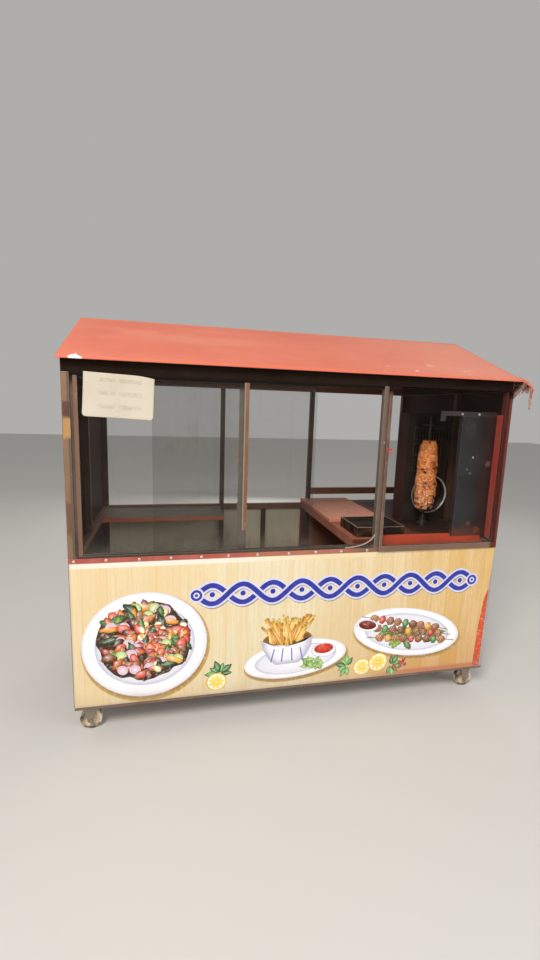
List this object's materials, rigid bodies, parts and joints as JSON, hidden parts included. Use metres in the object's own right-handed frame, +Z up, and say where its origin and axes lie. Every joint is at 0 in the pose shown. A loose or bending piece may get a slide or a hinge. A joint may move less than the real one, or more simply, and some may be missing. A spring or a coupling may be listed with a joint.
{
  "type": "street food kiosk",
  "caption": "Street kiosk on castors with a gable roof, sliding glass front, open back, counter and a grill with a turning spit.",
  "frame": {"origin": "on the ground under the middle of the whole, with the roof's edges and the side awning counted", "axes": "+X along the front to the right, towards the grill bay; +Y from the front to the back; +Z up"},
  "size_m": [2.307, 1.16, 1.991],
  "materials": {
    "base_paint": "dull black paint, road dust",
    "deck_wood": "worn plywood",
    "castor_steel": "zinc plated, dull",
    "post_paint": "wine red paint, chipped and weathered",
    "rail_paint": "dark red-brown paint",
    "panel_sheet": "beige sheet",
    "cover_vinyl": "printed vinyl, satin",
    "trim_paint": "red paint, small screws",
    "wall_paint": "wine red painted sheet",
    "back_paint": "beige painted sheet",
    "sash_metal": "dull grey",
    "window_glass": "clear, dusty",
    "batten_paint": "orange-brown varnish",
    "track_metal": "dull grey",
    "grill_frame_paint": "faded pinkish grey",
    "roof_paint": "coral red gloss paint",
    "rafter_paint": "dull black",
    "counter_paint": "bright red paint",
    "board_wood": "scrubbed wood",
    "griddle_iron": "black, greasy",
    "shelf_paint": "red paint",
    "heat_sheet": "sooty sheet",
    "burner_iron": "sooty black",
    "guard_steel": "burnt steel",
    "spit_steel": "steel, greasy",
    "pan_steel": "bright rim",
    "awning_wood": "weathered, pinkish",
    "awning_fabric": "faded red cloth",
    "meat": "roast, glossy fat",
    "wheel_rubber": "dusty black rubber"
  },
  "bodies": {
    "kiosk": {"base_rails": "base_paint", "base_cross": "base_paint", "floor_deck": "deck_wood", "castor_forks": "castor_steel", "front_posts": "post_paint", "back_posts": "post_paint", "front_rails": "rail_paint", "back_rails": "rail_paint", "side_rails": "rail_paint", "side_studs": "post_paint", "front_panel": "panel_sheet", "printed_cover": "cover_vinyl", "sill_trim": "trim_paint", "left_wall_sheets": "wall_paint", "right_wall_sheets": "wall_paint", "back_sheets": "back_paint", "sash_frame": "sash_metal", "sash_glass": "window_glass", "window_battens": "batten_paint", "window_tracks": "track_metal", "grill_window_frame": "grill_frame_paint", "grill_window_glass": "window_glass", "front_roof_sheet": "roof_paint", "back_roof_sheet": "roof_paint", "gable_sheets": "roof_paint", "rafters": "rafter_paint", "ridge_bar": "rafter_paint", "work_counter": "counter_paint", "counter_frame": "counter_paint", "cutting_board": "board_wood", "griddle": "griddle_iron", "left_shelf": "shelf_paint", "heat_plate": "heat_sheet", "burner_box": "burner_iron", "fire_guards": "guard_steel", "spit_arm": "spit_steel", "spit_foot": "spit_steel", "round_pan": "pan_steel", "awning_frame": "awning_wood", "awning_cloth": "awning_fabric"},
    "spit": {"spit_rod": "spit_steel", "spit_meat": "meat"},
    "front_left_wheel": {"wheel_front_left": "wheel_rubber"},
    "front_right_wheel": {"wheel_front_right": "wheel_rubber"},
    "back_left_wheel": {"wheel_back_left": "wheel_rubber"},
    "back_right_wheel": {"wheel_back_right": "wheel_rubber"}
  },
  "joints": [
    {"name": "spit_turn", "type": "hinge", "parent": "kiosk", "child": "spit", "pos_m": [0.7725, -0.22, 1.2], "axis": [0, 0, 1], "continuous": true},
    {"name": "front_left_wheel_roll", "type": "hinge", "parent": "kiosk", "child": "front_left_wheel", "pos_m": [-1.0815, -0.48, 0.05], "axis": [0, 1, 0], "continuous": true},
    {"name": "front_right_wheel_roll", "type": "hinge", "parent": "kiosk", "child": "front_right_wheel", "pos_m": [0.9585, -0.48, 0.05], "axis": [0, 1, 0], "continuous": true},
    {"name": "back_left_wheel_roll", "type": "hinge", "parent": "kiosk", "child": "back_left_wheel", "pos_m": [-1.0815, 0.48, 0.05], "axis": [0, 1, 0], "continuous": true},
    {"name": "back_right_wheel_roll", "type": "hinge", "parent": "kiosk", "child": "back_right_wheel", "pos_m": [0.9585, 0.48, 0.05], "axis": [0, 1, 0], "continuous": true}
  ]
}
